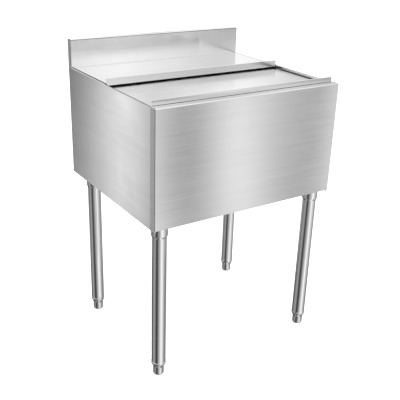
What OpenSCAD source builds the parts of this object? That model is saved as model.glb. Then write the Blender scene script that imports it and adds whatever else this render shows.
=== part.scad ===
// Underbar ice bin on four tube legs: insulated stainless well, boxed backsplash,
// two covers with upturned lips. The front cover slides back under the rear cover.
// Millimetres. Front faces -Y, width along X, floor at z = 0.

/* [Body] */
// overall width, across the side returns of the front panel
width = 610; // [560:5:660]
// overall depth, face of the front panel to the back rivet heads
depth = 535; // [505:5:565]
// floor to the lower edge of the side panels
leg_height = 482; // [440:2:520]
// lower edge of the side panels up to the rim
body_height = 338; // [310:2:370]
// gauge of the stainless sheet
sheet = 1.2; // [1:0.1:1.4]
// clear wall between the outer skin and the inside of the well
wall = 32; // [28:1:40]
// outer radius of the visible bends
bend = 2.5; // [2:0.1:4]

/* [Front panel] */
// lower edge of the front panel above that of the side panels
apron_lift = 6; // [6:0.5:10]
// depth of the top flange and the side returns
apron_return = 24; // [20:1:28]
// depth of the bottom return
apron_foot = 12; // [8:1:12]

/* [Rim and recess] */
// width of the rolled rim along each side
rim_width = 4; // [3.6:0.1:5]
// depth of the cover recess, rim to the ledge of the well
recess = 16; // [15.5:0.5:20]
// height of the folded safety hem on the side panels
skin_hem = 6; // [4:0.5:6]
// width of the flange that turns in behind the back panel
back_return = 19; // [15:1:24]

/* [Backsplash] */
// rise of the backsplash above the rim
splash_rise = 85; // [60:1:130]
// thickness of the boxed backsplash, front to back
splash_depth = 24; // [22:1:30]
// lap of the backsplash over the back panel
splash_lap = 20; // [14:1:30]
// depth of the end caps inside the ends of the backsplash
cap_inset = 1.2; // [0.8:0.1:2]

/* [Well] */
// radius of the coved corners
cove = 20; // [15:1:25]
// floor of the well above the lower edge of the side panels
floor_lift = 50; // [46:1:60]
// width that the ledge of the well runs past the recess
ledge_tuck = 2; // [1:0.1:2.2]
// play between the foam and the sheet of the well
foam_gap = 0.1; // [0.1:0.05:0.2]

/* [Covers] */
// top of the front cover below the rim
front_drop = 10; // [9.8:0.1:10.4]
// top of the rear cover above the rim
rear_rise = 0.6; // [0.4:0.1:1]
// depth of the folded edge under the front of the rear cover
edge_fold = 6.4; // [6:0.1:7]
// height of the lips above the rim
lip_rise = 15; // [12:0.5:20]
// folded hem at the top of each lip
lip_hem = 6; // [4:0.5:7]
// outer radius of the bends of the covers
cover_bend = 2; // [1.9:0.1:2.4]
// gap from the front flange to the lip of the front cover
lip_gap = 2.5; // [2:0.1:4]
// share of the recess length that the front cover takes up
cover_split = 0.535; // [0.52:0.005:0.55]
// overlap of the two covers when closed
cover_lap = 5; // [3:0.5:8]
// gap between a cover and the recess, each side
cover_gap = 1.6; // [1.2:0.1:1.8]
// sideways gap between the front cover and the step of its rail
track_gap = 1; // [0.6:0.1:1.4]
// running gap under the sliding flanges
glide_gap = 0.05; // [0.03:0.01:0.08]
// length of the bumpers that stop the front cover
bumper = 4; // [3:0.5:5]

/* [Rails] */
// thickness of the lower track
track_base = 2; // [1.8:0.1:2.4]
// height of the step that carries the rear cover
track_step = 7.5; // [7.3:0.1:7.6]
// width of the step
step_width = 4.9; // [4.5:0.1:5.2]
// width of the whole rail
rail_width = 22.5; // [20:0.5:23]
// clearance between the rail and the side of the recess
rail_gap = 0.3; // [0.1:0.05:0.3]

/* [False bottom] */
// underside of the perforated plate above the floor of the well
false_lift = 24; // [22:1:40]
// gap around the plate
false_gap = 3; // [2:0.5:6]
// radius of the perforations
perf = 7; // [4:0.5:9]
// spacing of the perforations
perf_pitch = 45; // [40:1:46]

/* [Drain] */
// outer radius of the threaded tail
tail = 16.6; // [15:0.1:17]
// radius of the clear way through the drain
drain_bore = 12.7; // [11:0.1:13]
// radius of the plain spigot at the lower end
spigot = 15; // [14.2:0.1:15]
// length of the plain spigot
spigot_length = 20; // [15:1:30]
// distance of the drain behind the middle of the bin
drain_y = 60; // [30:5:120]
// fall of the tail below the side panels
tail_drop = 38; // [36:1:60]

/* [Legs] */
// diameter of the leg tubes
tube = 41.3; // [40:0.1:42.4]
// wall of the leg tubes
tube_wall = 1.5; // [1.2:0.1:2]
// leg centres in from the sides
leg_in = 36; // [35:0.5:42]
// front leg centres back from the front face
leg_front = 38; // [38:0.5:50]
// rear leg centres forward from the back
leg_rear = 80; // [60:1:100]
// outer diameter of the leg sockets
socket = 47.6; // [46:0.1:48.4]
// height of the leg sockets under their plates
socket_height = 34.7; // [24:0.1:40]
// height of the coned mouth of the sockets
socket_cone = 5; // [3:0.5:8]
// radial clearance of turned parts in their bores
fit_gap = 0.05; // [0.03:0.01:0.08]

/* [Feet] */
// exposed height of the feet
foot_height = 27; // [22:1:34]
// diameter of the feet
foot = 31.8; // [28:0.2:33]
// diameter of the foot stems
stem = 20; // [16:0.5:22]
// length of the foot stems
stem_length = 58; // [52:1:70]
// widest diameter of the coned tube inserts
insert = 43.4; // [42.6:0.1:44.4]
// height of the cone of the inserts
insert_cone = 12; // [8:0.5:16]

/* [Hidden] */
$fn = 48;
e = 1;

// planes of the outer body
half = width / 2;
front = -depth / 2;
back = depth / 2;
low = leg_height;
rim = low + body_height;
top = rim + splash_rise;
apron_low = low + apron_lift;
skin = half - sheet;
skin_in = skin - sheet;
side_front = front + bend + 0.1;
front_in = front + sheet;
back_panel_out = back - sheet;
back_in = back_panel_out - sheet;
recess_half = skin - rim_width;
recess_front = front + apron_return;
recess_back = back - splash_depth;
ledge = rim - recess;
panel_low = apron_low + sheet;
panel_top = panel_low + sheet;
panel_turn = 20;

// well
well_x = skin - wall;
well_y = back - wall;
well_floor = low + floor_lift;
false_sheet = 1.5;
runner = 8;
runner_inset = 6;

// covers
front_top = rim - front_drop;
rear_top = rim + rear_rise;
lip_top = rim + lip_rise;
track_top = ledge + track_base;
shelf_top = ledge + track_step;
wide = recess_half - cover_gap;
step_in = recess_half - rail_gap - step_width;
narrow = step_in - track_gap;
front_lip = recess_front + lip_gap;
rear_lip = recess_front + (recess_back - recess_front) * cover_split;
front_end = rear_lip + sheet + cover_lap;
rear_end = recess_back - cover_gap;
flange_relief = 6;
tail_gap = 1;
edge_low = rear_top - edge_fold;
rear_flange_low = shelf_top + glide_gap;
tail_low_edge = max(front_top + tail_gap, rear_flange_low);
lip_clear = 0.3;

// underside
plate = 2.5;
plate_x = 60;
plate_y = 50;
bolt_x = 25;
bolt_y = 19;
bolt = 2.5;
bolt_hole = 2.75;
bolt_head = 3.5;
bolt_flats = 8;
nut_height = 4;
channel_base = 2;
channel_width = 56;
channel_rise = 20;
channel_gap = 0.4;
channel_half = skin_in - sheet - channel_gap;
socket_top = panel_low - plate;
socket_low = socket_top - socket_height;
screw_drop = 12.5;
screw_z = socket_top - screw_drop;
screw = 2.9;
legs_x = half - leg_in;
legs_front = front + leg_front;
legs_rear = back - leg_rear;
insert_collar = 6;
tube_low = foot_height + insert_cone + insert_collar;
insert_plug = 50;

// drain stack
gasket = 1.5;
flange = 3;
flange_r = 30;
seat_r = 22;
seat_drop = 1.5;
hole_gap = 0.6;
foam_hole = 4;
strainer_hole = 2.2;
strainer_ring = 7;
washer = 1.5;
washer_r = 25;
nut = 8.5;
nut_flats = 46;
tail_low = low - tail_drop;
spigot_top = tail_low + spigot_length;
thread_pitch = 2.3;

// rivets
rivet = 1.6;
rivet_head = 3.6;
rivet_margin = 40;
rivet_foot = 30;
rivet_inset = 8;
back_rivet_r = 3.2;

module block(x0, x1, y0, y1, z0, z1) {
    translate([x0, y0, z0]) cube([x1 - x0, y1 - y0, z1 - z0]);
}

module along_x(x0, x1) {
    translate([x0, 0, 0]) rotate([90, 0, 90]) linear_extrude(x1 - x0) children();
}

module along_y(y0, y1) {
    translate([0, y1, 0]) rotate([90, 0, 0]) linear_extrude(y1 - y0) children();
}

module along_z(z0, z1) {
    translate([0, 0, z0]) linear_extrude(z1 - z0) children();
}

module strip(x0, x1, y0, y1) {
    translate([x0, y0]) square([x1 - x0, y1 - y0]);
}

// quarter ring of sheet, bent from the +x side round to the +y side
module elbow(r) {
    intersection() {
        difference() {
            circle(r);
            circle(r - sheet);
        }
        square(r);
    }
}

// half ring of sheet, closed at the top
module fold(r) {
    difference() {
        circle(r);
        if (r > sheet) circle(r - sheet);
        strip(-r - e, r + e, -r - e, 0);
    }
}

module disc(r, z0, z1) {
    translate([0, 0, z0]) cylinder(h = z1 - z0, r = r);
}

module taper(r0, r1, z0, z1) {
    translate([0, 0, z0]) cylinder(h = z1 - z0, r1 = r0, r2 = r1);
}

module both_sides() {
    children();
    mirror([1, 0, 0]) children();
}

module at_legs() {
    for (x = [-legs_x, legs_x], y = [legs_front, legs_rear]) translate([x, y, 0]) children();
}

module at_bolts() {
    for (x = [-bolt_x, bolt_x], y = [-bolt_y, bolt_y]) translate([x, y, 0]) children();
}

// front panel

module apron_block(o) {
    r = bend - o;
    intersection() {
        along_z(apron_low - o, rim - o) {
            strip(-half + bend, half - bend, front + o, 0);
            strip(-half + o, half - o, front + bend, 0);
            for (x = [-half + bend, half - bend]) translate([x, front + bend]) circle(r);
        }
        along_x(-half - e, half + e) {
            strip(front + bend, e, apron_low - e, rim - o);
            strip(front + o, e, apron_low - e, rim - bend);
            translate([front + bend, rim - bend]) circle(r);
        }
    }
}

module apron() {
    color([0.78, 0.79, 0.8]) {
        difference() {
            apron_block(0);
            apron_block(sheet);
            block(-half - e, half + e, recess_front, e, low, rim + e);
        }
        block(-skin_in, skin_in, recess_front - sheet, recess_front, ledge, rim - sheet);
        block(-skin_in + sheet, skin_in - sheet, front_in - 0.1, front + apron_foot, apron_low, panel_low);
    }
}

// side panels

module side_skin() {
    hem_r = rim_width / 2;
    along_y(side_front, back_in) {
        strip(skin_in, skin, low + sheet, rim - sheet);
        strip(skin_in - sheet, skin_in, low + sheet, low + skin_hem);
        translate([skin_in, low + sheet]) mirror([0, 1]) fold(sheet);
    }
    along_y(recess_back, back_in) strip(skin_in, skin, rim - sheet - e, rim);
    along_y(recess_front, recess_back) {
        strip(skin - rim_width, skin - rim_width + sheet, ledge, rim - hem_r);
        translate([skin - hem_r, rim - hem_r]) fold(hem_r);
    }
    block(skin_in - back_return, skin_in, back_in - sheet, back_in, panel_low, rim - 2);
}

module side_body() {
    hem_r = rim_width / 2;
    difference() {
        side_skin();
        difference() {
            block(skin - hem_r, skin + e, recess_front, recess_back, rim - hem_r, rim + e);
            translate([skin - hem_r, recess_front - e, rim - hem_r]) rotate([-90, 0, 0])
                cylinder(h = depth, r = hem_r);
        }
        for (z = back_rivet_z()) translate([back_rivet_x(), back_in - 2 * sheet, z]) rotate([-90, 0, 0])
            cylinder(h = 3 * sheet, r = rivet + fit_gap);
    }
}

module side_panel_left() {
    color([0.76, 0.77, 0.78]) mirror([1, 0, 0]) side_body();
}

module side_panel_right() {
    color([0.76, 0.77, 0.78]) side_body();
}

// back panel and its rivets

function back_rivet_x() = skin_in - back_return / 2;
function back_rivet_z() =
    [for (i = [0 : 4]) low + rivet_foot + i * (body_height - rivet_foot - rivet_margin) / 4];

module back_panel() {
    color([0.74, 0.75, 0.76]) difference() {
        block(-skin, skin, back_in, back_panel_out, low, rim - 2);
        both_sides() for (z = back_rivet_z()) translate([back_rivet_x(), back_in - e, z])
            rotate([-90, 0, 0]) cylinder(h = sheet + 2 * e, r = rivet + fit_gap);
    }
}

module back_rivets() {
    color([0.7, 0.71, 0.72]) both_sides() for (z = back_rivet_z())
        translate([back_rivet_x(), 0, z]) rotate([-90, 0, 0]) {
            disc(rivet, back_in - sheet, back_panel_out);
            taper(back_rivet_r, back_rivet_r - 0.9, back_panel_out, back);
        }
}

// underside

module bottom_panel() {
    color([0.7, 0.71, 0.72]) difference() {
        union() {
            block(-skin_in, skin_in, front_in, back_in - sheet, panel_low, panel_top);
            both_sides()
                block(skin_in - sheet, skin_in, front_in, back_in - sheet, panel_low, panel_low + panel_turn);
            block(-skin_in, skin_in, front_in, front_in + sheet, panel_low, panel_low + panel_turn);
            block(-skin_in + back_return, skin_in - back_return, back_in - sheet, back_in, panel_low,
                panel_low + panel_turn);
        }
        translate([0, drain_y, 0]) disc(tail + hole_gap, panel_low - e, panel_top + e);
        both_sides() block(skin_in - sheet, skin_in + e, front, side_front, low, rim);
        at_legs() at_bolts() disc(bolt_hole, panel_low - e, panel_top + e);
    }
}

module channel(y) {
    base = panel_top + channel_base;
    color([0.62, 0.63, 0.64]) difference() {
        block(-channel_half, channel_half, y - channel_width / 2, y + channel_width / 2, panel_top,
            panel_top + channel_rise);
        block(-channel_half - e, channel_half + e, y - channel_width / 2 + channel_base,
            y + channel_width / 2 - channel_base, base, panel_top + channel_rise + e);
        for (x = [-legs_x, legs_x]) translate([x, y, 0]) at_bolts() disc(bolt_hole, panel_top - e, base + e);
    }
}

module channel_front() {
    channel(legs_front);
}

module channel_rear() {
    channel(legs_rear);
}

// well and its foam

module basin(o, z_top) {
    r = cove + o;
    x = well_x - cove;
    y = well_y - cove;
    z = well_floor + cove;
    block(-x, x, -y - r, y + r, z, z_top);
    block(-x - r, x + r, -y, y, z, z_top);
    block(-x, x, -y, y, z - r, z + e);
    for (i = [-x, x], j = [-y, y]) translate([i, j, 0]) {
        disc(r, z, z_top);
        translate([0, 0, z]) sphere(r);
    }
    for (j = [-y, y]) translate([-x, j, z]) rotate([0, 90, 0]) cylinder(h = 2 * x, r = r);
    for (i = [-x, x]) translate([i, -y, z]) rotate([-90, 0, 0]) cylinder(h = 2 * y, r = r);
}

module liner() {
    color([0.8, 0.81, 0.82]) difference() {
        union() {
            basin(sheet, ledge - sheet / 2);
            block(-recess_half - ledge_tuck, recess_half + ledge_tuck, recess_front - ledge_tuck - sheet,
                recess_back + ledge_tuck + sheet, ledge - sheet, ledge);
        }
        basin(0, ledge + e);
        translate([0, drain_y, 0]) disc(tail + hole_gap, well_floor - sheet - e, well_floor + e);
        both_sides() for (y = rivet_y()) translate([rivet_x(), y, 0])
            disc(rivet + fit_gap, ledge - sheet - e, ledge + e);
    }
}

module insulation() {
    color([0.93, 0.86, 0.62]) difference() {
        block(-skin_in + sheet, skin_in - sheet, front_in + sheet, back_in - sheet, panel_top, ledge - sheet);
        basin(sheet + foam_gap, ledge);
        for (y = [legs_front, legs_rear]) block(-channel_half, channel_half, y - channel_width / 2,
            y + channel_width / 2, panel_top - e, panel_top + channel_rise);
        translate([0, drain_y, 0]) disc(tail + foam_hole, panel_top - e, well_floor);
    }
}

// backsplash

module splash_outline(o) {
    r = bend - o;
    strip(recess_back + o, back - o, ledge - e, top - bend);
    strip(recess_back + bend, back - bend, ledge - e, top - o);
    for (y = [recess_back + bend, back - bend]) translate([y, top - bend]) circle(r);
}

module backsplash() {
    color([0.8, 0.81, 0.82]) {
        along_x(-skin, skin) difference() {
            splash_outline(0);
            splash_outline(sheet);
            strip(front, back + e, ledge - 2 * e, rim);
        }
        block(-skin, skin, back_panel_out, back, rim - splash_lap, rim + e);
        block(-recess_half + 0.2, recess_half - 0.2, recess_back, recess_back + sheet, ledge, rim + e);
    }
}

module splash_end_caps() {
    color([0.76, 0.77, 0.78]) both_sides() along_x(skin_in - cap_inset, skin - cap_inset) intersection() {
        splash_outline(sheet);
        strip(front, back, rim, top);
    }
}

// cover rails

function rivet_y() = [recess_front + rivet_margin, 0, recess_back - rivet_margin];
function rivet_x() = recess_half - rail_gap - rail_width + rivet_inset;

module rail_body() {
    outer = recess_half - rail_gap;
    difference() {
        along_y(recess_front + rail_gap, recess_back - rail_gap) {
            strip(outer - rail_width, outer, ledge, track_top);
            strip(step_in, outer, ledge, shelf_top);
        }
        for (y = rivet_y()) translate([rivet_x(), y, 0]) {
            disc(rivet + fit_gap, ledge - e, track_top + e);
            taper(rivet + fit_gap, rivet_head + fit_gap, track_top - 1.5, track_top + 0.01);
        }
    }
}

module cover_rail_left() {
    color([0.16, 0.16, 0.17]) mirror([1, 0, 0]) rail_body();
}

module cover_rail_right() {
    color([0.16, 0.16, 0.17]) rail_body();
}

module rail_rivets() {
    color([0.7, 0.71, 0.72]) both_sides() for (y = rivet_y()) translate([rivet_x(), y, 0]) {
        disc(rivet, ledge - sheet, track_top - 0.1);
        taper(rivet, rivet_head, track_top - 1.5, track_top - 0.01);
    }
}

module cover_bumpers() {
    bumper_r = 2;
    color([0.12, 0.12, 0.13]) both_sides() translate([narrow / 2, 0, front_top - sheet / 2 - bumper_r - 0.6])
        rotate([-90, 0, 0]) {
            disc(bumper_r, recess_back - bumper + 1, recess_back);
            taper(bumper_r - 0.8, bumper_r, recess_back - bumper, recess_back - bumper + 1);
        }
}

// covers

// plate with turned-down side flanges, seen from the end
module cover_profile(w, z_top, z_low) {
    strip(-w + cover_bend, w - cover_bend, z_top - sheet, z_top);
    for (s = [0, 1]) mirror([s, 0]) {
        translate([w - cover_bend, z_top - cover_bend]) elbow(cover_bend);
        strip(w - sheet, w, z_low, z_top - cover_bend);
    }
}

// bend and upturned lip at the front of a cover, seen from the side
module lip_profile(y, z_plate) {
    translate([y + cover_bend, z_plate + cover_bend]) rotate(180) elbow(cover_bend);
    strip(y + cover_bend, y + cover_bend + e, z_plate, z_plate + sheet);
    lip_face(y, z_plate + cover_bend);
}

// straight part of a lip with its folded hem
module lip_face(y, z_low) {
    strip(y, y + sheet, z_low, lip_top - sheet);
    strip(y + sheet, y + 2 * sheet, lip_top - lip_hem, lip_top - sheet);
    translate([y + sheet, lip_top - sheet]) fold(sheet);
}

// front edge folded down under the plate and back up into a lip, seen from the side
module edge_profile(y, z_top, z_low) {
    translate([y + sheet, z_low + sheet]) rotate(180) fold(sheet);
    strip(y + sheet, y + 2 * sheet, z_low + sheet, z_top - cover_bend);
    translate([y + sheet + cover_bend, z_top - cover_bend]) mirror([1, 0]) elbow(cover_bend);
    strip(y + sheet + cover_bend, y + sheet + cover_bend + e, z_top - sheet, z_top);
    lip_face(y, z_low + sheet);
}

// bend and turned-down flange at the back of a cover, seen from the side
module tail_profile(y, z_top, z_low) {
    translate([y - cover_bend, z_top - cover_bend]) elbow(cover_bend);
    strip(y - cover_bend - e, y - cover_bend, z_top - sheet, z_top);
    strip(y - sheet, y, z_low, z_top - cover_bend);
}

module rear_cover() {
    color([0.82, 0.83, 0.84]) {
        difference() {
            along_y(rear_lip + sheet + cover_bend, rear_end - cover_bend)
                cover_profile(wide, rear_top, rear_flange_low);
            both_sides() block(wide - sheet - e, wide + e, rear_lip, front_end + flange_relief, ledge,
                rear_top - cover_bend);
        }
        along_x(-wide, wide) edge_profile(rear_lip, rear_top, edge_low);
        along_x(-wide + cover_bend, wide - cover_bend) tail_profile(rear_end, rear_top, tail_low_edge);
    }
}

module front_cover() {
    color([0.82, 0.83, 0.84]) {
        along_y(front_lip + cover_bend, front_end - cover_bend)
            cover_profile(narrow, front_top, track_top + glide_gap);
        along_x(-narrow, narrow) lip_profile(front_lip, front_top - sheet);
        along_x(-wide, wide) lip_face(front_lip, shelf_top + lip_clear);
        along_x(-narrow + cover_bend, narrow - cover_bend)
            tail_profile(front_end, front_top, track_top + glide_gap);
    }
}

// perforated false bottom

module false_bottom() {
    x = well_x - false_gap;
    y = well_y - false_gap;
    r = cove - false_gap;
    z = well_floor + false_lift;
    runner_end = well_y - cove - runner_inset;
    color([0.72, 0.73, 0.74]) {
        difference() {
            along_z(z, z + false_sheet) {
                strip(-x + r, x - r, -y, y);
                strip(-x, x, -y + r, y - r);
                for (i = [-x + r, x - r], j = [-y + r, y - r]) translate([i, j]) circle(r);
            }
            both_sides() for (i = [2 / 3, 5 / 3, 8 / 3, 4, 5], j = [-4 : 4])
                translate([i * perf_pitch, j * perf_pitch, 0]) disc(perf, z - e, z + false_sheet + e);
        }
        both_sides() along_y(-runner_end, runner_end) translate([10 / 3 * perf_pitch, 0]) {
            strip(-runner, runner, z - false_sheet, z);
            strip(-runner, false_sheet - runner, well_floor, z);
            strip(runner - false_sheet, runner, well_floor, z);
        }
    }
}

// drain

module at_drain() {
    translate([0, drain_y, 0]) children();
}

module drain_body() {
    seat = well_floor + gasket;
    color([0.72, 0.73, 0.74]) at_drain() difference() {
        union() {
            disc(flange_r, seat, seat + flange - 1);
            taper(flange_r, flange_r - 1, seat + flange - 1, seat + flange);
            disc(tail, spigot_top, seat + e);
            disc(spigot, tail_low + 1, spigot_top);
            taper(spigot - 1, spigot, tail_low, tail_low + 1);
        }
        disc(drain_bore, tail_low - e, seat + flange + e);
        disc(seat_r, seat + flange - seat_drop, seat + flange + e);
        for (i = [1 : 4]) translate([0, 0, spigot_top + i * thread_pitch]) difference() {
            disc(tail + e, 0, 1);
            disc(tail - 0.8, -e, 1 + e);
        }
    }
}

module drain_strainer() {
    z = well_floor + gasket + flange;
    color([0.76, 0.77, 0.78]) at_drain() difference() {
        disc(seat_r - 0.1, z - seat_drop, z);
        disc(strainer_hole, z - seat_drop - e, z + e);
        for (a = [0 : 60 : 300]) rotate(a) translate([strainer_ring, 0, 0])
            disc(strainer_hole, z - seat_drop - e, z + e);
    }
}

module drain_gasket() {
    color([0.15, 0.15, 0.16]) at_drain() difference() {
        disc(flange_r - 1, well_floor, well_floor + gasket);
        disc(tail + 0.3, well_floor - e, well_floor + gasket + e);
    }
}

module drain_washer() {
    color([0.7, 0.71, 0.72]) at_drain() difference() {
        disc(washer_r, panel_low - washer, panel_low);
        disc(tail + 0.3, panel_low - washer - e, panel_low + e);
    }
}

module drain_nut() {
    z = panel_low - washer;
    color([0.7, 0.66, 0.5]) at_drain() difference() {
        translate([0, 0, z - nut]) cylinder(h = nut, r = nut_flats / sqrt(3), $fn = 6);
        disc(tail + fit_gap, z - nut - e, z + e);
    }
}

// leg sockets and fasteners

module leg_sockets() {
    weld = 2.4;
    color([0.68, 0.69, 0.7]) for (s = [-1, 1], y = [legs_front, legs_rear]) translate([s * legs_x, y, 0])
        difference() {
            union() {
                block(-plate_x / 2, plate_x / 2, -plate_y / 2, plate_y / 2, socket_top, panel_low);
                disc(socket / 2, socket_low + socket_cone, socket_top + e);
                taper(tube / 2 + 0.8, socket / 2, socket_low, socket_low + socket_cone);
                taper(socket / 2, socket / 2 + weld, socket_top - weld, socket_top);
            }
            disc(tube / 2 + fit_gap, socket_low - e, socket_top);
            translate([0, 0, screw_z]) rotate([0, -90 * s, 0]) cylinder(h = socket, r = screw + 0.1);
            at_bolts() disc(bolt_hole, socket_top - e, panel_low + e);
        }
}

module socket_bolts() {
    color([0.66, 0.67, 0.68]) at_legs() at_bolts() {
        translate([0, 0, socket_top - bolt_head]) cylinder(h = bolt_head, r = bolt_flats / sqrt(3), $fn = 6);
        disc(bolt, socket_top - e, panel_top + channel_base + nut_height + 1.5);
    }
}

module socket_nuts() {
    z = panel_top + channel_base;
    color([0.66, 0.67, 0.68]) at_legs() at_bolts() difference() {
        translate([0, 0, z]) cylinder(h = nut_height, r = bolt_flats / sqrt(3), $fn = 6);
        disc(bolt + fit_gap, z - e, z + nut_height + e);
    }
}

module set_screws() {
    length = 5;
    color([0.3, 0.3, 0.31]) for (s = [-1, 1], y = [legs_front, legs_rear])
        translate([s * legs_x, y, screw_z]) rotate([0, -90 * s, 0]) difference() {
            disc(screw, tube / 2 + 0.03, tube / 2 + length);
            translate([0, 0, tube / 2 + length - 2]) cylinder(h = 3, r = 1.7, $fn = 6);
        }
}

// legs, inserts and feet

module leg(x, y) {
    color([0.75, 0.76, 0.77]) translate([x, y, 0]) difference() {
        disc(tube / 2, tube_low, socket_top);
        disc(tube / 2 - tube_wall, tube_low - e, socket_top + e);
    }
}

module leg_front_left() {
    leg(-legs_x, legs_front);
}

module leg_front_right() {
    leg(legs_x, legs_front);
}

module leg_rear_left() {
    leg(-legs_x, legs_rear);
}

module leg_rear_right() {
    leg(legs_x, legs_rear);
}

module leg_inserts() {
    z = foot_height + insert_cone;
    color([0.7, 0.71, 0.72]) at_legs() difference() {
        union() {
            taper(foot / 2 + 0.5, insert / 2, foot_height, z);
            disc(insert / 2, z, tube_low - 1);
            taper(insert / 2, tube / 2, tube_low - 1, tube_low);
            disc(tube / 2 - tube_wall - fit_gap, tube_low - e, tube_low + insert_plug);
        }
        disc(stem / 2 + fit_gap, foot_height - e, tube_low + insert_plug + e);
    }
}

module foot_at(x, y) {
    nose = 4.5;
    pad = foot / 2 - 2.8;
    color([0.7, 0.71, 0.72]) translate([x, y, 0]) difference() {
        union() {
            taper(pad, pad + 1.2, 0, 1.2);
            taper(pad + 1.2, foot / 2, 1.2, nose);
            disc(foot / 2, nose, foot_height);
            disc(stem / 2, foot_height - e, foot_height + stem_length);
        }
        for (i = [1 : 9]) translate([0, 0, foot_height + i * 3]) difference() {
            disc(stem / 2 + e, 0, 1.2);
            disc(stem / 2 - 0.8, -e, 1.2 + e);
        }
    }
}

module foot_front_left() {
    foot_at(-legs_x, legs_front);
}

module foot_front_right() {
    foot_at(legs_x, legs_front);
}

module foot_rear_left() {
    foot_at(-legs_x, legs_rear);
}

module foot_rear_right() {
    foot_at(legs_x, legs_rear);
}

apron();
side_panel_left();
side_panel_right();
back_panel();
back_rivets();
bottom_panel();
liner();
insulation();
backsplash();
splash_end_caps();
cover_rail_left();
cover_rail_right();
rail_rivets();
cover_bumpers();
rear_cover();
front_cover();
false_bottom();
drain_body();
drain_strainer();
drain_gasket();
drain_washer();
drain_nut();
channel_front();
channel_rear();
leg_sockets();
socket_bolts();
socket_nuts();
set_screws();
leg_front_left();
leg_front_right();
leg_rear_left();
leg_rear_right();
leg_inserts();
foot_front_left();
foot_front_right();
foot_rear_left();
foot_rear_right();
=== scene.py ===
import math

import bmesh
import bpy
from mathutils import Matrix, Vector


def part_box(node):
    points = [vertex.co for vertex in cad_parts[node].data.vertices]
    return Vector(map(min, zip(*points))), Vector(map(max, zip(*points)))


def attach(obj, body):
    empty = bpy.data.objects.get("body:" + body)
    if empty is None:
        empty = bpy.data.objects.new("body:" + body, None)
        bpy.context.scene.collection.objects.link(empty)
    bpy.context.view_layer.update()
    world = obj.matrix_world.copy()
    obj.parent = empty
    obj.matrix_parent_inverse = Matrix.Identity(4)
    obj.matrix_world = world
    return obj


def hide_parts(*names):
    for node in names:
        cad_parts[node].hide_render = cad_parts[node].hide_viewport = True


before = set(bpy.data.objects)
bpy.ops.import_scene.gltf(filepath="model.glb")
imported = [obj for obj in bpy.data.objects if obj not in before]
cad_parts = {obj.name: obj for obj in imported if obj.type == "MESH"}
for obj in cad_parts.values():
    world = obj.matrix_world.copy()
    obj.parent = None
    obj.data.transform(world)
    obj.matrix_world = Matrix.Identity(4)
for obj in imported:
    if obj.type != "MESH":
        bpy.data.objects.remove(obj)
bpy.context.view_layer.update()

bl_info = {
    "name": "Underbar ice bin",
    "version": (1, 0, 0),
    "blender": (4, 5, 0),
    "location": "3D View > Sidebar > Ice bin",
    "description": "Dresses the CAD ice bin with brushed stainless finishes, rivets and bolts",
    "category": "Object",
}

MM = 0.001
UP = Vector((0, 0, 1))
BLACK = (0.0, 0.0, 0.0)

APRON_RETURN = 24 * MM  # depth of the front panel's side returns
SOCKET_PLATE = 2.5 * MM  # thickness of the leg sockets' mounting plates
SHANK_RADIUS = 2.5 * MM
SHANK_CHAMFER = 0.6 * MM
WASHER_THICKNESS = 0.9 * MM
WASHER_RADIUS = 0.64  # as a share of the bolt head's width
ROUND_SIDES = 28  # sides of rivet heads and washers
SHANK_SIDES = 20


# settings

def linear(code):
    """The linear RGB of an sRGB hex value."""
    parts = [int(code[i : i + 2], 16) / 255 for i in (0, 2, 4)]
    return tuple(c / 12.92 if c <= 0.04045 else ((c + 0.055) / 1.055) ** 2.4 for c in parts)


def colour(name, description, code):
    """A colour setting whose default is an sRGB hex value."""
    return bpy.props.FloatVectorProperty(
        name=name, description=description, subtype="COLOR", size=3, min=0.0, max=1.0,
        default=linear(code),
    )


def length(name, description, millimetres):
    """A length setting in metres whose default is given in millimetres."""
    return bpy.props.FloatProperty(
        name=name, description=description, default=millimetres * MM, min=0.0, unit="LENGTH",
        precision=5,
    )


class BinColours(bpy.types.PropertyGroup):
    skin: colour("Brushed sheet", "Stainless sheet of the panels, backsplash and covers", "E5E5E5")
    dull: colour("Mill sheet", "Mill-finished stainless of the back and underside", "CACACB")
    tube: colour("Leg tube", "Polished stainless of the leg tubes and sockets", "E8E8E8")
    turned: colour("Turned steel", "Turned stainless of the feet and inserts", "DCDCDC")
    fastener: colour("Fasteners", "Stainless rivets, bolts and nuts", "C5C6C8")
    brass: colour("Drain nut", "Cast brass of the drain nut", "C6A566")
    plastic: colour("Rails", "Black acetal of the cover rails", "2A2A2C")
    rubber: colour("Rubber", "Black EPDM of the bumpers and the gasket", "1D1D1F")
    foam: colour("Foam", "Polyurethane foam between skin and well", "DCC993")
    floor: colour("Floor", "Pale studio floor and dome", "FBFBFB")


class BinSizes(bpy.types.PropertyGroup):
    grain_pitch: length("Grain pitch", "Spacing of the brushed lines, wide enough to show", 1.6)
    grain_length: length("Grain length", "Length of a brushed line", 160)
    rivet_head: length("Rivet head", "Diameter of the blind rivet heads on the back", 6.4)
    mandrel: length("Mandrel", "Diameter of the mandrel hole in a rivet head", 1.9)
    bolt_flats: length("Bolt head", "Width across flats of the socket bolts", 8)
    lens: bpy.props.FloatProperty(
        name="Lens", description="Focal length on a 36 mm sensor", default=60.659, min=20.0
    )
    light: bpy.props.FloatProperty(
        name="Light", description="Strength of the studio light", default=1.0, min=0.0
    )


# nodes

def add(tree, kind, inputs=(), **settings):
    """Adds a node, sets its properties, and fills or links its inputs."""
    node = tree.nodes.new(kind)
    for key, value in settings.items():
        setattr(node, key, value)
    for key, value in dict(inputs).items():
        if isinstance(value, bpy.types.NodeSocket):
            tree.links.new(value, node.inputs[key])
        else:
            node.inputs[key].default_value = value
    return node


def maths(tree, operation, *values):
    """What a math node makes of its values."""
    return add(tree, "ShaderNodeMath", enumerate(values), operation=operation).outputs[0]


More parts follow.
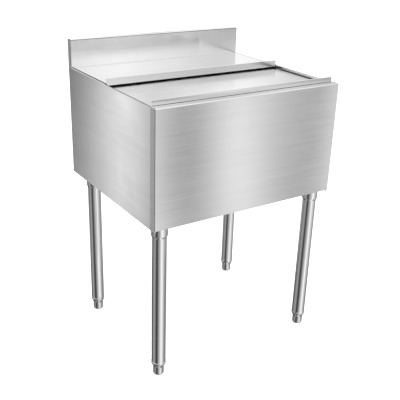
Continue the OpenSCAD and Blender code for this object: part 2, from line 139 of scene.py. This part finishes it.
def spread(tree, value, low, high, start=0.3, end=0.7):
    """Maps a value, such as a noise's middle range, to the range low to high."""
    return add(
        tree, "ShaderNodeMapRange", {0: value, 1: start, 2: end, 3: low, 4: high}
    ).outputs[0]


def blend(tree, factor, first, second):
    """A colour between two, each a socket or a linear RGB, by a factor."""
    sides = {
        key: (*value, 1) if isinstance(value, tuple) else value
        for key, value in ((6, first), (7, second))
    }
    return add(tree, "ShaderNodeMix", {0: factor, **sides}, data_type="RGBA").outputs[2]


def shade(rgb, k):
    """A colour k times as bright, at most white."""
    return tuple(min(1.0, c * k) for c in rgb)


def on_object(tree):
    """Object coordinates in metres."""
    return add(tree, "ShaderNodeTexCoord").outputs["Object"]


def part_of(tree, vector, axis):
    """One component of a vector."""
    return add(tree, "ShaderNodeSeparateXYZ", {0: vector}).outputs[axis]


def streaks(tree, along, across, axis, detail=3.0):
    """Noise of one size along an axis of the object and another across it, as abrasives leave."""
    scale = [1 / across] * 3
    scale["XYZ".index(axis)] = 1 / along
    place = add(tree, "ShaderNodeMapping", {"Vector": on_object(tree), "Scale": scale}).outputs[0]
    return add(
        tree, "ShaderNodeTexNoise",
        {"Vector": place, "Scale": 1.0, "Detail": detail, "Roughness": 0.6},
    ).outputs["Fac"]


def bump(tree, height, strength, distance):
    """A normal that follows a height."""
    return add(
        tree, "ShaderNodeBump", {"Strength": strength, "Distance": distance, "Height": height}
    ).outputs[0]


def looking(tree, axis):
    """1 on the faces that look along an axis, either way."""
    normal = add(tree, "ShaderNodeNewGeometry").outputs["True Normal"]
    return maths(tree, "GREATER_THAN", maths(tree, "ABSOLUTE", part_of(tree, normal, axis)), 0.9)


def paint_shade_in(tree, base, limits):
    """Paints shade on the sheet in a slot, seam or tight bend, where light can't reach: a painted
    shadow line.

    limits holds a range for each axis that counts. A range of X above 0 stands for both sides.
    """
    # painted shade: a near-black grey blended into the sheet inside the limits
    soft, painted_shade_grey = 0.3 * MM, (0.06, 0.06, 0.06)
    inside = 1.0
    for axis, (low, high) in limits.items():
        along = part_of(tree, on_object(tree), axis)
        if axis == "X" and low > 0:
            along = maths(tree, "ABSOLUTE", along)
        rise = spread(tree, along, 0, 1, low - soft, low + soft)
        fall = spread(tree, along, 1, 0, high - soft, high + soft)
        inside = maths(tree, "MULTIPLY", inside, maths(tree, "MULTIPLY", rise, fall))
    return blend(tree, inside, base, painted_shade_grey)


def leaning(tree, ridge, face, along, slope, bow):
    """Tips and bows the faces that look along one axis, as folded sheet springs along its edge."""
    way = part_of(tree, on_object(tree), along)
    height = maths(tree, "MULTIPLY", maths(tree, "MULTIPLY_ADD", way, bow, slope), way)
    height = maths(tree, "MULTIPLY", height, looking(tree, face))
    return add(
        tree, "ShaderNodeBump",
        {"Strength": 1.0, "Distance": 1.0, "Height": height, "Normal": ridge},
    ).outputs[0]


# materials

def fresh_material(name):
    """An empty node material and its tree."""
    material = bpy.data.materials.new(name)
    material.use_nodes = True
    material.node_tree.nodes.clear()
    return material, material.node_tree


def surface(tree, inputs):
    """Ends a material in a Principled shader with these inputs."""
    shader = add(tree, "ShaderNodeBsdfPrincipled", inputs)
    add(tree, "ShaderNodeOutputMaterial", {"Surface": shader.outputs[0]})


def brushed_stainless(name, rgb, axis, rough=0.115, stretch=1.0, lean=None, painted_shade_places=(), painted_lip_shade=1.0):
    """304 sheet brushed with a belt: long fine lines, and highlights drawn out across them."""
    sizes = bpy.context.scene.bin_sizes
    pitch, run = sizes.grain_pitch, sizes.grain_length
    material, tree = fresh_material(name)
    line = streaks(tree, run, pitch, axis)
    band = streaks(tree, 4 * run, 14 * pitch, axis, 1.0)
    hand = streaks(tree, 110 * MM, 110 * MM, axis, 2.0)

    grain = spread(tree, maths(tree, "ADD", line, band), 0, 1, 0.7, 1.3)
    base = blend(tree, grain, shade(rgb, 0.965), shade(rgb, 1.02))
    # painted shade: the faces that look along Y, the lips, are darkened towards black
    if painted_lip_shade < 1:
        base = blend(tree, maths(tree, "MULTIPLY", looking(tree, "Y"), 1 - painted_lip_shade), base, BLACK)
    # painted shade in the given slots, seams and bends
    for limits in painted_shade_places:
        base = paint_shade_in(tree, base, limits)

    matt = maths(tree, "ADD", spread(tree, line, -0.02, 0.02), spread(tree, hand, -0.012, 0.012))
    ridge = bump(tree, line, 0.04, 0.25 * MM)
    if lean:
        ridge = leaning(tree, ridge, *lean)

    # a little askew, so that faces square to the grain have a tangent too
    way = [0.021, 0.034, 0.027]
    way["XYZ".index(axis)] = 1.0
    normal = add(tree, "ShaderNodeNewGeometry").outputs["Normal"]
    across = add(tree, "ShaderNodeVectorMath", {0: normal, 1: way}, operation="CROSS_PRODUCT")
    surface(tree, {
        "Base Color": base,
        "Metallic": 1.0,
        "Roughness": maths(tree, "ADD", matt, rough),
        "Normal": ridge,
        "Anisotropic": stretch,
        "Tangent": across.outputs[0],
    })
    return material


def polished_tube(name, rgb):
    """304 tube polished round and round: faint hoops, and highlights sharp down its length."""
    material, tree = fresh_material(name)
    hoop = streaks(tree, 0.8 * MM, 50 * MM, "Z")
    wear = streaks(tree, 50 * MM, 30 * MM, "Z", 2.0)
    matt = spread(tree, hoop, 0.06, 0.1)
    upright = add(tree, "ShaderNodeCombineXYZ", {"Z": 1.0}).outputs[0]
    surface(tree, {
        "Base Color": blend(tree, spread(tree, hoop, 0, 1), shade(rgb, 0.97), shade(rgb, 1.01)),
        "Metallic": 1.0,
        "Roughness": maths(tree, "ADD", matt, spread(tree, wear, -0.01, 0.02)),
        "Normal": bump(tree, hoop, 0.03, 0.2 * MM),
        "Anisotropic": 1.0,
        "Tangent": upright,
    })
    return material


def mill_stainless(name, rgb):
    """2B sheet as it leaves the mill: even, greyer than brushed sheet, soft clouds, no lines."""
    material, tree = fresh_material(name)
    cloud = streaks(tree, 90 * MM, 60 * MM, "X")
    speck = streaks(tree, 3 * MM, 2 * MM, "X", 2.0)
    surface(tree, {
        "Base Color": blend(tree, spread(tree, cloud, 0, 1), shade(rgb, 0.93), shade(rgb, 1.03)),
        "Metallic": 1.0,
        "Roughness": spread(tree, cloud, 0.31, 0.41),
        "Normal": bump(tree, speck, 0.05, 0.2 * MM),
    })
    return material


def turned_stainless(name, rgb, pitch, rough):
    """Bar turned on a lathe: fine rings round the upright axis that break up a highlight."""
    material, tree = fresh_material(name)
    turns = maths(tree, "MULTIPLY", part_of(tree, on_object(tree), "Z"), 1 / pitch)
    ring = add(
        tree, "ShaderNodeTexNoise", {"W": turns, "Scale": 1.0, "Detail": 2.0},
        noise_dimensions="1D",
    ).outputs[0]
    stain = streaks(tree, 20 * MM, 20 * MM, "Z", 2.0)
    matt = spread(tree, ring, rough - 0.04, rough + 0.06)
    surface(tree, {
        "Base Color": blend(tree, spread(tree, ring, 0, 1), shade(rgb, 0.9), shade(rgb, 1.04)),
        "Metallic": 1.0,
        "Roughness": maths(tree, "ADD", matt, spread(tree, stain, -0.03, 0.03)),
        "Normal": bump(tree, ring, 0.12, 0.2 * MM),
    })
    return material


def cast_brass(name, rgb):
    """Sand-cast brass with machined flats: warm, dull, slightly tarnished in the hollows."""
    material, tree = fresh_material(name)
    grit = streaks(tree, 1.5 * MM, 1.5 * MM, "Z")
    stain = streaks(tree, 12 * MM, 12 * MM, "Z")
    surface(tree, {
        "Base Color": blend(tree, spread(tree, stain, 0, 1), shade(rgb, 0.72), rgb),
        "Metallic": 1.0,
        "Roughness": spread(tree, stain, 0.48, 0.32),
        "Normal": bump(tree, grit, 0.3, 0.2 * MM),
    })
    return material


def acetal(name, rgb):
    """Milled acetal rail: black, waxy, with faint cutter lines along its length."""
    material, tree = fresh_material(name)
    line = streaks(tree, 200 * MM, 1.2 * MM, "Y")
    surface(tree, {
        "Base Color": blend(tree, spread(tree, line, 0, 1), rgb, shade(rgb, 1.5)),
        "Roughness": spread(tree, line, 0.34, 0.46),
        "IOR": 1.48,
        "Normal": bump(tree, line, 0.12, 0.2 * MM),
    })
    return material


def moulded_rubber(name, rgb):
    """Moulded EPDM: near black, with a greyish bloom and a fine pebble."""
    material, tree = fresh_material(name)
    pebble = streaks(tree, 0.8 * MM, 0.8 * MM, "Z", 2.0)
    bloom = streaks(tree, 10 * MM, 10 * MM, "Z", 2.0)
    surface(tree, {
        "Base Color": blend(tree, spread(tree, bloom, 0, 1), rgb, shade(rgb, 2.2)),
        "Roughness": spread(tree, bloom, 0.6, 0.8),
        "IOR": 1.5,
        "Normal": bump(tree, pebble, 0.25, 0.3 * MM),
    })
    return material


def rigid_foam(name, rgb):
    """Foamed-in polyurethane: dry, cream, with small open cells where it meets an edge."""
    material, tree = fresh_material(name)
    cell = add(
        tree, "ShaderNodeTexVoronoi", {"Vector": on_object(tree), "Scale": 1 / (2 * MM)}
    ).outputs["Distance"]
    stain = streaks(tree, 50 * MM, 50 * MM, "Z")
    surface(tree, {
        "Base Color": blend(tree, spread(tree, stain, 0, 1), shade(rgb, 0.85), rgb),
        "Roughness": spread(tree, cell, 0.95, 0.8),
        "Normal": bump(tree, cell, 0.5, 0.6 * MM),
    })
    return material


def studio_paint(name, rgb):
    """Matt white paint, barely mottled, that glows enough to stay white without a shadow."""
    material, tree = fresh_material(name)
    mottle = add(
        tree, "ShaderNodeTexNoise", {"Vector": on_object(tree), "Scale": 1.5, "Detail": 2.0}
    ).outputs["Fac"]
    surface(tree, {
        "Base Color": blend(tree, mottle, shade(rgb, 0.99), rgb),
        "Roughness": 0.9,
        "Emission Color": (*rgb, 1),
        "Emission Strength": 0.55,
    })
    return material


def dress(material, *names):
    """Gives CAD nodes their material, through their objects' slots."""
    for name in names:
        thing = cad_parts[name]
        if not thing.material_slots:
            thing.data.materials.append(None)
        for place in thing.material_slots:
            place.link = "OBJECT"
            place.material = material


# finishes

def span(coordinate, below, above):
    """Limits so many millimetres below and above a coordinate."""
    return coordinate - below * MM, coordinate + above * MM


class BIN_OT_sheet_finish(bpy.types.Operator):
    """Brushed and mill stainless on the panels, the backsplash, the covers and the well"""

    bl_idname = "bin.sheet_finish"
    bl_label = "Sheet finishes"

    def execute(self, context):
        shades = context.scene.bin_colours
        skin = tuple(shades.skin)
        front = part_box("apron")[0].y
        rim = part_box("side_panel_left")[1].z
        near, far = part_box("rear_cover")
        edge = far.x
        face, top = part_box("backsplash")[0].y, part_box("backsplash")[1].z

        # painted shade: dark lines painted on the bend along the backsplash's front top edge, the
        # slot between the rear cover and the rims, the rims' inner edges beside it, the left rim
        # along the front cover, and the front panel's seam
        bend = {"Y": span(face, 1, 1), "Z": span(top, 3.4, -1.8)}
        slot = {"X": span(edge, 1.2, 1), "Z": span(rim, 3, 1.6)}
        rims = {"X": span(edge, 0, 4.2), "Y": (near.y, far.y), "Z": span(rim, 5, 1)}
        left_rim = {"X": span(-edge, 5.4, -3), "Y": (front, near.y), "Z": span(rim, 1, 1)}
        seam = {"Y": span(front + APRON_RETURN, 1, 2.4)}

        # faces that look along the first axis change with the second: slope, bow per metre
        tipped_returns = ("X", "Y", 0.011, 0.0)
        bowed_lips = ("Y", "X", -0.005, 0.0213)

        dress(brushed_stainless("Brushed 304 front", skin, "X", lean=tipped_returns), "apron")
        # the backsplash's sheet is painted 12 % brighter than the other sheets: a painted highlight
        dress(
            brushed_stainless("Brushed 304 backsplash", shade(skin, 1.12), "X", 0.12, painted_shade_places=[bend]),
            "backsplash",
        )
        dress(
            brushed_stainless("Brushed 304 front cover", skin, "X", lean=bowed_lips),
            "front_cover",
        )
        # the rear cover's lips get painted shade, 8 % darker
        dress(
            brushed_stainless(
                "Brushed 304 rear cover", skin, "X", lean=bowed_lips, painted_shade_places=[slot], painted_lip_shade=0.92
            ),
            "rear_cover",
        )
        dress(
            brushed_stainless("Brushed 304 sides", skin, "Y", painted_shade_places=[rims, left_rim, seam]),
            "side_panel_left", "side_panel_right", "splash_end_caps",
        )
        dress(
            brushed_stainless("Brushed 304 well", shade(skin, 0.97), "X", rough=0.3, stretch=0.5),
            "liner", "false_bottom", "drain_strainer",
        )
        dress(
            mill_stainless("Mill 2B stainless", tuple(shades.dull)),
            "back_panel", "bottom_panel", "channel_front", "channel_rear", "drain_body",
        )
        return {"FINISHED"}


class BIN_OT_leg_finish(bpy.types.Operator):
    """Polished tube on the legs, turned stainless on the inserts and feet"""

    bl_idname = "bin.leg_finish"
    bl_label = "Leg finishes"

    def execute(self, context):
        shades = context.scene.bin_colours
        tube = polished_tube("Polished 304 tube", tuple(shades.tube))
        turned = turned_stainless("Turned 303 stainless", tuple(shades.turned), 1.2 * MM, 0.13)
        corners = ("front_left", "front_right", "rear_left", "rear_right")
        dress(tube, "leg_sockets", *[f"leg_{corner}" for corner in corners])
        dress(turned, "leg_inserts", *[f"foot_{corner}" for corner in corners])
        return {"FINISHED"}


class BIN_OT_small_finish(bpy.types.Operator):
    """Fasteners, brass, acetal, rubber and foam"""

    bl_idname = "bin.small_finish"
    bl_label = "Small part finishes"

    def execute(self, context):
        shades = context.scene.bin_colours
        dress(
            turned_stainless("A2 stainless fastener", tuple(shades.fastener), 0.6 * MM, 0.3),
            "back_rivets", "rail_rivets", "socket_bolts", "socket_nuts", "set_screws",
            "drain_washer",
        )
        dress(cast_brass("Cast brass", tuple(shades.brass)), "drain_nut")
        dress(acetal("Milled acetal", tuple(shades.plastic)), "cover_rail_left", "cover_rail_right")
        dress(moulded_rubber("Moulded EPDM", tuple(shades.rubber)), "cover_bumpers", "drain_gasket")
        dress(rigid_foam("Polyurethane foam", tuple(shades.foam)), "insulation")
        return {"FINISHED"}


# pieces

def finish_piece(name, bm, material, body, replaced):
    """Turns a bmesh into a piece that rides on a body and takes the place of CAD nodes."""
    mesh = bpy.data.meshes.new(name)
    bm.to_mesh(mesh)
    bm.free()
    for face in mesh.polygons:
        face.use_smooth = True
    mesh.set_sharp_from_angle(angle=math.radians(35))
    mesh.materials.append(material)
    piece = bpy.data.objects.new(name, mesh)
    bpy.context.scene.collection.objects.link(piece)
    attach(piece, body)
    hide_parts(*replaced)


def loose_boxes(node):
    """The lowest and highest corner of each loose part of a CAD node."""
    bm = bmesh.new()
    bm.from_mesh(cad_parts[node].data)
    bmesh.ops.remove_doubles(bm, verts=bm.verts, dist=1e-6)
    seen, found = set(), []
    for start in bm.verts:
        if start in seen:
            continue
        stack, part = [start], []
        seen.add(start)
        while stack:
            vert = stack.pop()
            part.append(vert.co.copy())
            for edge in vert.link_edges:
                other = edge.other_vert(vert)
                if other not in seen:
                    seen.add(other)
                    stack.append(other)
        found.append((Vector(map(min, zip(*part))), Vector(map(max, zip(*part)))))
    bm.free()
    return found


def drum(bm, radius, depth, sides, place):
    """A capped cylinder from z 0 to depth, moved by a matrix. Returns its faces."""
    made = bmesh.ops.create_cone(
        bm, cap_ends=True, segments=sides, radius1=radius, radius2=radius, depth=depth,
        matrix=place @ Matrix.Translation((0, 0, depth / 2)),
    )
    bm.normal_update()
    return {face for vert in made["verts"] for face in vert.link_faces}


def top_face(faces, out):
    """The outermost of the faces that look outwards."""
    level = [face for face in faces if face.normal.dot(out) > 0.99]
    return max(level, key=lambda face: face.calc_center_median().dot(out))


def rim_bevel(bm, face, offset, segments):
    """Bevels the edges round a face."""
    bmesh.ops.bevel(
        bm, geom=list(face.edges), offset=offset, affect="EDGES", segments=segments, profile=0.5,
        material=-1, clamp_overlap=True,
    )


def blind_rivet(bm, place, radius, height, mandrel):
    """A domed head with the sunk end of its mandrel."""
    out = (place.to_3x3() @ UP).normalized()
    dome, flat, sunk = height * 0.8, radius * 0.78, height * 0.35
    rim_bevel(bm, top_face(drum(bm, radius, height, ROUND_SIDES, place), out), dome, 5)
    bm.normal_update()
    head = [
        face for face in bm.faces
        if (face.calc_center_median() - place.translation).length < radius
    ]
    top = top_face(head, out)
    bmesh.ops.inset_individual(bm, faces=[top], thickness=max(0.0, flat - mandrel))
    bmesh.ops.inset_individual(bm, faces=[top], thickness=0.0, depth=-sunk)


def chamfered_hex(bm, place, flats, height):
    """A hexagon head with its outer corners taken off."""
    out = (place.to_3x3() @ UP).normalized()
    head = drum(bm, flats / math.sqrt(3), height, 6, place)
    rim_bevel(bm, top_face(head, out), height * 0.16, 2)


class BIN_OT_back_rivets(bpy.types.Operator):
    """Domed blind rivets that hold the back panel"""

    bl_idname = "bin.back_rivets"
    bl_label = "Back rivets"

    def execute(self, context):
        sizes = context.scene.bin_sizes
        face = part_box("back_panel")[1].y
        backwards = Matrix.Rotation(math.radians(-90), 4, "X")
        bm = bmesh.new()
        for low, high in loose_boxes("back_rivets"):
            middle = (low + high) / 2
            place = Matrix.Translation((middle.x, face, middle.z)) @ backwards
            blind_rivet(bm, place, sizes.rivet_head / 2, high.y - face, sizes.mandrel / 2)
        finish_piece(
            "blind_rivets_back", bm, bpy.data.materials["A2 stainless fastener"], "bin",
            ["back_rivets"],
        )
        return {"FINISHED"}


class BIN_OT_socket_bolts(bpy.types.Operator):
    """Chamfered hexagon bolts, with washers, that hold the leg sockets"""

    bl_idname = "bin.socket_bolts"
    bl_label = "Socket bolts"

    def execute(self, context):
        flats = context.scene.bin_sizes.bolt_flats
        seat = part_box("leg_sockets")[1].z - SOCKET_PLATE
        bm = bmesh.new()
        for low, high in loose_boxes("socket_bolts"):
            middle = (low + high) / 2
            up = Matrix.Translation((middle.x, middle.y, seat))
            down = up @ Matrix.Rotation(math.pi, 4, "X")
            drum(bm, flats * WASHER_RADIUS, WASHER_THICKNESS, ROUND_SIDES, down)
            under = down @ Matrix.Translation((0, 0, WASHER_THICKNESS))
            chamfered_hex(bm, under, flats, seat - WASHER_THICKNESS - low.z)
            shank = drum(bm, SHANK_RADIUS, high.z - seat, SHANK_SIDES, up)
            rim_bevel(bm, top_face(shank, UP), SHANK_CHAMFER, 1)
        finish_piece(
            "hex_bolts_sockets", bm, bpy.data.materials["A2 stainless fastener"], "bin",
            ["socket_bolts"],
        )
        return {"FINISHED"}


# stage

# The tables hold brightness by compass bearing in degrees, 0 along +X and turning towards +Y.

# the studio's walls
WALLS = (
    (-180, 0.4), (-168, 0.12), (-148, 0.05), (-136, 0.28), (-118, 0.4), (-98, 0.8), (-80, 1.15),
    (-68, 1.1), (-62.5, 0.9), (-60.2, 0.8), (-58.3, 0.36), (-57.2, 0.44), (-53, 1.08),
    (-48.4, 0.58), (-46.4, 0.4), (-44.4, 1.0), (-40, 0.95), (-34, 0.45), (-20, 0.28), (-4, 0.55),
    (14, 0.3), (80, 0.42), (97, 0.42), (108, 0.08), (113, 0.26), (115, 0.8), (116.6, 1.2),
    (118.2, 0.9), (119.4, 0.5), (120.4, 0.26), (125, 0.16), (180, 0.4),
)
# the softboxes above eye level
SOFTBOXES = (
    (-180, 0.9), (-120, 1.05), (-68, 1.05), (-64, 1.3), (-59, 1.1), (-55, 0.86), (-52, 1.0),
    (-49, 1.05), (-46, 0.75), (-30, 1.0), (20, 1.0), (43, 0.6), (47, 0.75), (53, 1.15),
    (57, 0.95), (60, 0.75), (63, 1.0), (66, 1.2), (90, 1.0), (180, 0.9),
)
# the foot of the walls, where the legs look
SKIRTING = (
    (-180, 0.28), (-167, 0.08), (-147, 0.05), (-133, 0.24), (-115, 0.5), (-96, 0.9), (-79, 1.15),
    (-61, 0.95), (-41, 0.5), (-17, 0.3), (17, 0.25), (50, 0.25), (85, 0.25), (98, 0.08),
    (110, 0.06), (122, 0.15), (138, 0.28), (160, 0.42), (180, 0.28),
)
# the far end of the room, just below eye level
HORIZON = (
    (-180, 0.45), (-85, 0.35), (-70, 0.15), (-66.5, 0.5), (-64, 0.95), (-60, 1.1), (-58, 0.95),
    (-56.6, 0.6), (-55.6, 0.7), (-54.6, 0.25), (-53, 0.25), (-51.6, 1.1), (-49, 1.0),
    (-46.5, 0.35), (-40, 0.35), (-20, 0.35), (-4, 0.6), (14, 0.4), (180, 0.45),
)
# the light straight above, the same all round
OVERHEAD = (1.15, 1.15, 1.15)

# half the floor's side and the dome's radius in metres
STAGE_RADIUS = 30.0

# the photograph's camera: where it stands in metres, then how far it is turned from -Y, tipped
# down and rolled, in degrees
CAMERA_PLACE = (-1.09123, -1.65475, 1.26489)
CAMERA_ANGLES = (-33.7118, 23.1741, 1.8506)


def by_bearing(tree, bearing, levels):
    """A grey that changes with bearing, eased between given levels."""
    node = add(tree, "ShaderNodeValToRGB", {0: bearing})
    ramp = node.color_ramp
    ramp.interpolation = "EASE"
    for degrees, _ in levels[1:-1]:
        ramp.elements.new(degrees / 360 + 0.5)
    for stop, (degrees, level) in zip(ramp.elements, levels):
        stop.position = degrees / 360 + 0.5
        stop.color = (level, level, level, 1)
    return node.outputs[0]


def studio_surround(strength):
    """A world in layers of light, which the steel shows and the camera doesn't."""
    world = bpy.data.worlds.new("Studio surround")
    world.use_nodes = True
    tree = world.node_tree
    tree.nodes.clear()
    aim = add(tree, "ShaderNodeTexCoord").outputs["Generated"]
    bearing = add(tree, "ShaderNodeTexGradient", {0: aim}, gradient_type="RADIAL").outputs["Fac"]
    rise = part_of(tree, aim, "Z")
    horizon = by_bearing(tree, bearing, HORIZON)
    # each layer begins between two rises, the sines of its elevation
    layers = (
        (-0.48, -0.455, by_bearing(tree, bearing, WALLS)),
        (-0.19, -0.17, horizon),
        (-0.16, -0.12, blend(tree, 0.5, horizon, BLACK)),
        (-0.06, -0.02, by_bearing(tree, bearing, SOFTBOXES)),
        (0.35, 0.6, OVERHEAD),
    )
    light = by_bearing(tree, bearing, SKIRTING)
    for start, end, above in layers:
        edge = add(
            tree, "ShaderNodeMapRange", {0: rise, 1: start, 2: end},
            interpolation_type="SMOOTHSTEP",
        ).outputs[0]
        light = blend(tree, edge, light, above)
    glow = add(tree, "ShaderNodeBackground", {"Color": light, "Strength": strength})
    add(tree, "ShaderNodeOutputWorld", {"Surface": glow.outputs[0]})
    return world


def backdrop(name, bm, paint):
    """A painted surface that shows behind the bin but not in its steel."""
    mesh = bpy.data.meshes.new(name)
    bm.to_mesh(mesh)
    bm.free()
    mesh.materials.append(paint)
    surround = bpy.data.objects.new(name, mesh)
    bpy.context.scene.collection.objects.link(surround)
    surround.visible_glossy = False
    surround.visible_shadow = False
    return surround


def photo_camera(lens):
    """The camera that was fitted to the photograph."""
    turn, tip, roll = (math.radians(angle) for angle in CAMERA_ANGLES)
    back = Vector(
        (math.sin(turn) * math.cos(tip), -math.cos(turn) * math.cos(tip), math.sin(tip))
    )
    right = UP.cross(back).normalized()
    up = back.cross(right)
    side = right * math.cos(roll) + up * math.sin(roll)
    head = up * math.cos(roll) - right * math.sin(roll)
    data = bpy.data.cameras.new("photo_camera")
    data.sensor_width = 36
    data.lens = lens
    camera = bpy.data.objects.new("photo_camera", data)
    bpy.context.scene.collection.objects.link(camera)
    turned = Matrix((side, head, back)).transposed().to_4x4()
    camera.matrix_world = Matrix.Translation(CAMERA_PLACE) @ turned
    return camera


class BIN_OT_stage(bpy.types.Operator):
    """Pale floor and dome, soft studio surround and the camera"""

    bl_idname = "bin.stage"
    bl_label = "Stage"

    def execute(self, context):
        scene = context.scene
        scene.view_settings.view_transform = "Standard"
        paint = studio_paint("Painted studio floor", tuple(scene.bin_colours.floor))
        bm = bmesh.new()
        bmesh.ops.create_grid(bm, x_segments=1, y_segments=1, size=STAGE_RADIUS)
        backdrop("studio_floor", bm, paint)
        bm = bmesh.new()
        bmesh.ops.create_uvsphere(bm, u_segments=64, v_segments=32, radius=STAGE_RADIUS)
        bmesh.ops.reverse_faces(bm, faces=bm.faces)
        backdrop("studio_dome", bm, paint).visible_diffuse = False
        scene.world = studio_surround(scene.bin_sizes.light)
        scene.camera = photo_camera(scene.bin_sizes.lens)
        return {"FINISHED"}


class BIN_PT_panel(bpy.types.Panel):
    bl_idname = "BIN_PT_panel"
    bl_label = "Ice bin"
    bl_space_type = "VIEW_3D"
    bl_region_type = "UI"
    bl_category = "Ice bin"

    def draw(self, context):
        layout = self.layout
        for group in (context.scene.bin_sizes, context.scene.bin_colours):
            box = layout.box()
            for name in group.__annotations__:
                box.prop(group, name)
        for operator in OPERATORS:
            layout.operator(operator.bl_idname)


OPERATORS = (
    BIN_OT_sheet_finish,
    BIN_OT_leg_finish,
    BIN_OT_small_finish,
    BIN_OT_back_rivets,
    BIN_OT_socket_bolts,
    BIN_OT_stage,
)
CLASSES = (BinColours, BinSizes, *OPERATORS, BIN_PT_panel)


def register():
    for item in CLASSES:
        bpy.utils.register_class(item)
    bpy.types.Scene.bin_colours = bpy.props.PointerProperty(type=BinColours)
    bpy.types.Scene.bin_sizes = bpy.props.PointerProperty(type=BinSizes)


def unregister():
    del bpy.types.Scene.bin_sizes
    del bpy.types.Scene.bin_colours
    for item in reversed(CLASSES):
        bpy.utils.unregister_class(item)


def main():
    register()
    bpy.ops.bin.sheet_finish()
    bpy.ops.bin.leg_finish()
    bpy.ops.bin.small_finish()
    bpy.ops.bin.back_rivets()
    bpy.ops.bin.socket_bolts()
    bpy.ops.bin.stage()


if __name__ == "__main__":
    main()
